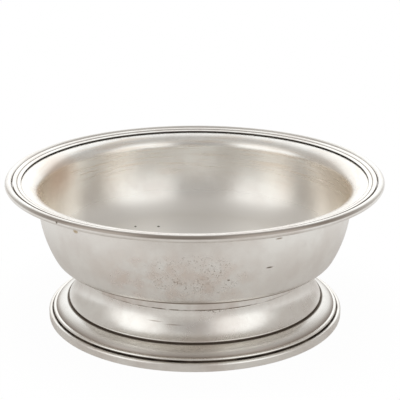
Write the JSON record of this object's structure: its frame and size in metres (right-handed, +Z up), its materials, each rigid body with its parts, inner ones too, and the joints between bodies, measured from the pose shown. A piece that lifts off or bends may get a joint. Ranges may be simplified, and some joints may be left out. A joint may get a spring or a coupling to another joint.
{
  "type": "footed silver bowl",
  "caption": "Round polished silver bowl with a flared lip, a reeded and wired rim, and a hollow stepped pedestal foot, for serving or display.",
  "frame": {"origin": "centre of the foot on the surface that the bowl stands on", "axes": "+Z up along the turning axis; the bowl is round, so X and Y are alike"},
  "size_m": [0.23, 0.23, 0.09],
  "materials": {
    "spun_silver": "sterling silver, spun and polished, with light tarnish and fine turning lines",
    "rim_silver": "sterling silver, drawn wire, brightly polished",
    "foot_silver": "sterling silver, spun and polished, dark in the steps",
    "base_silver": "sterling silver, drawn band, worn to a soft polish"
  },
  "bodies": {
    "root": {"bowl_body": "spun_silver", "rim_band": "rim_silver", "rim_wire": "rim_silver", "neck_collar": "foot_silver", "foot_skirt": "foot_silver", "foot_moulding": "foot_silver", "base_band": "base_silver"}
  },
  "joints": []
}
